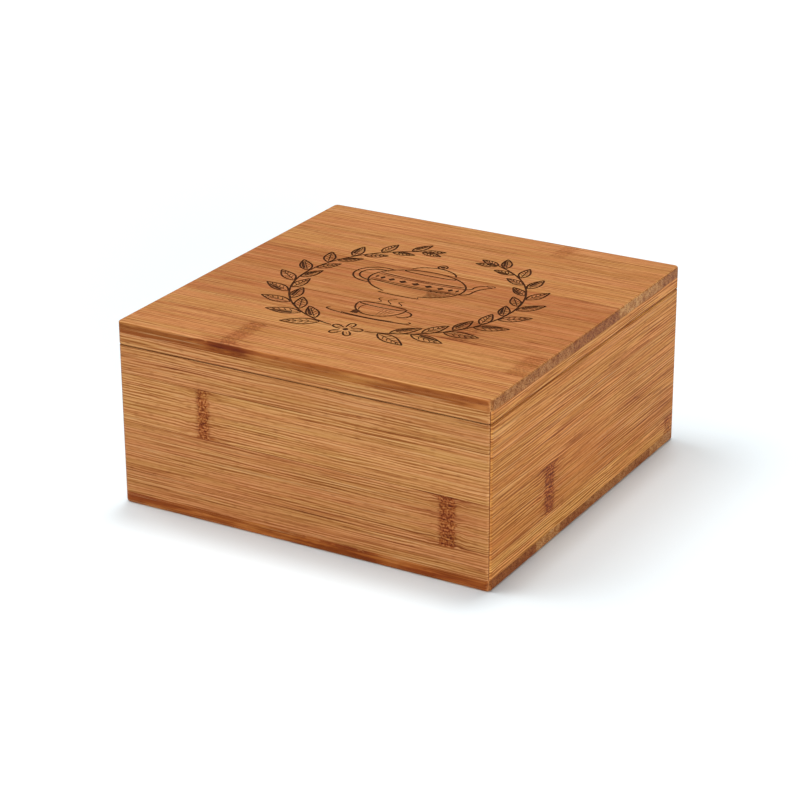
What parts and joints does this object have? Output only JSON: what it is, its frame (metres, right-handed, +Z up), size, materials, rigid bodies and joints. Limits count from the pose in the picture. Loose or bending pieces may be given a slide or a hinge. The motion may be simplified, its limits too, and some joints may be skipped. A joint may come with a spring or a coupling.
{
  "type": "tea bag organizer box",
  "caption": "Square carbonised bamboo box with mitred walls, halved dividers that make compartments for tea bags, and a low-rimmed lid on small butt hinges at the back.",
  "frame": {"origin": "centre of the box's underside", "axes": "+X to the right along the front, +Y from the front to the hinged back, +Z up"},
  "size_m": [0.16, 0.1613, 0.075],
  "materials": {
    "bamboo_wall": "satin lacquered carbonised bamboo, grain along each wall",
    "bamboo_board": "satin lacquered carbonised bamboo, grain from left to right",
    "bamboo_divider": "sanded carbonised bamboo",
    "hinge_brass": "satin plated",
    "pin_steel": "drawn wire"
  },
  "bodies": {
    "box": {"base_board": "bamboo_board", "front_wall": "bamboo_wall", "back_wall": "bamboo_wall", "left_wall": "bamboo_wall", "right_wall": "bamboo_wall", "long_divider": "bamboo_divider", "cross_divider": "bamboo_divider", "body_leaf_left": "hinge_brass", "body_leaf_right": "hinge_brass", "hinge_pin_left": "pin_steel", "hinge_pin_right": "pin_steel", "body_leaf_screws": "hinge_brass"},
    "lid": {"lid_board": "bamboo_board", "lid_rim_front": "bamboo_wall", "lid_rim_back": "bamboo_wall", "lid_rim_left": "bamboo_wall", "lid_rim_right": "bamboo_wall", "lid_leaf_left": "hinge_brass", "lid_leaf_right": "hinge_brass", "lid_leaf_screws": "hinge_brass"}
  },
  "joints": [
    {"name": "lid_hinge", "type": "hinge", "parent": "box", "child": "lid", "pos_m": [0, 0.07967, 0.06555], "axis": [-1, 0, 0], "range_deg": [0, 105]}
  ]
}
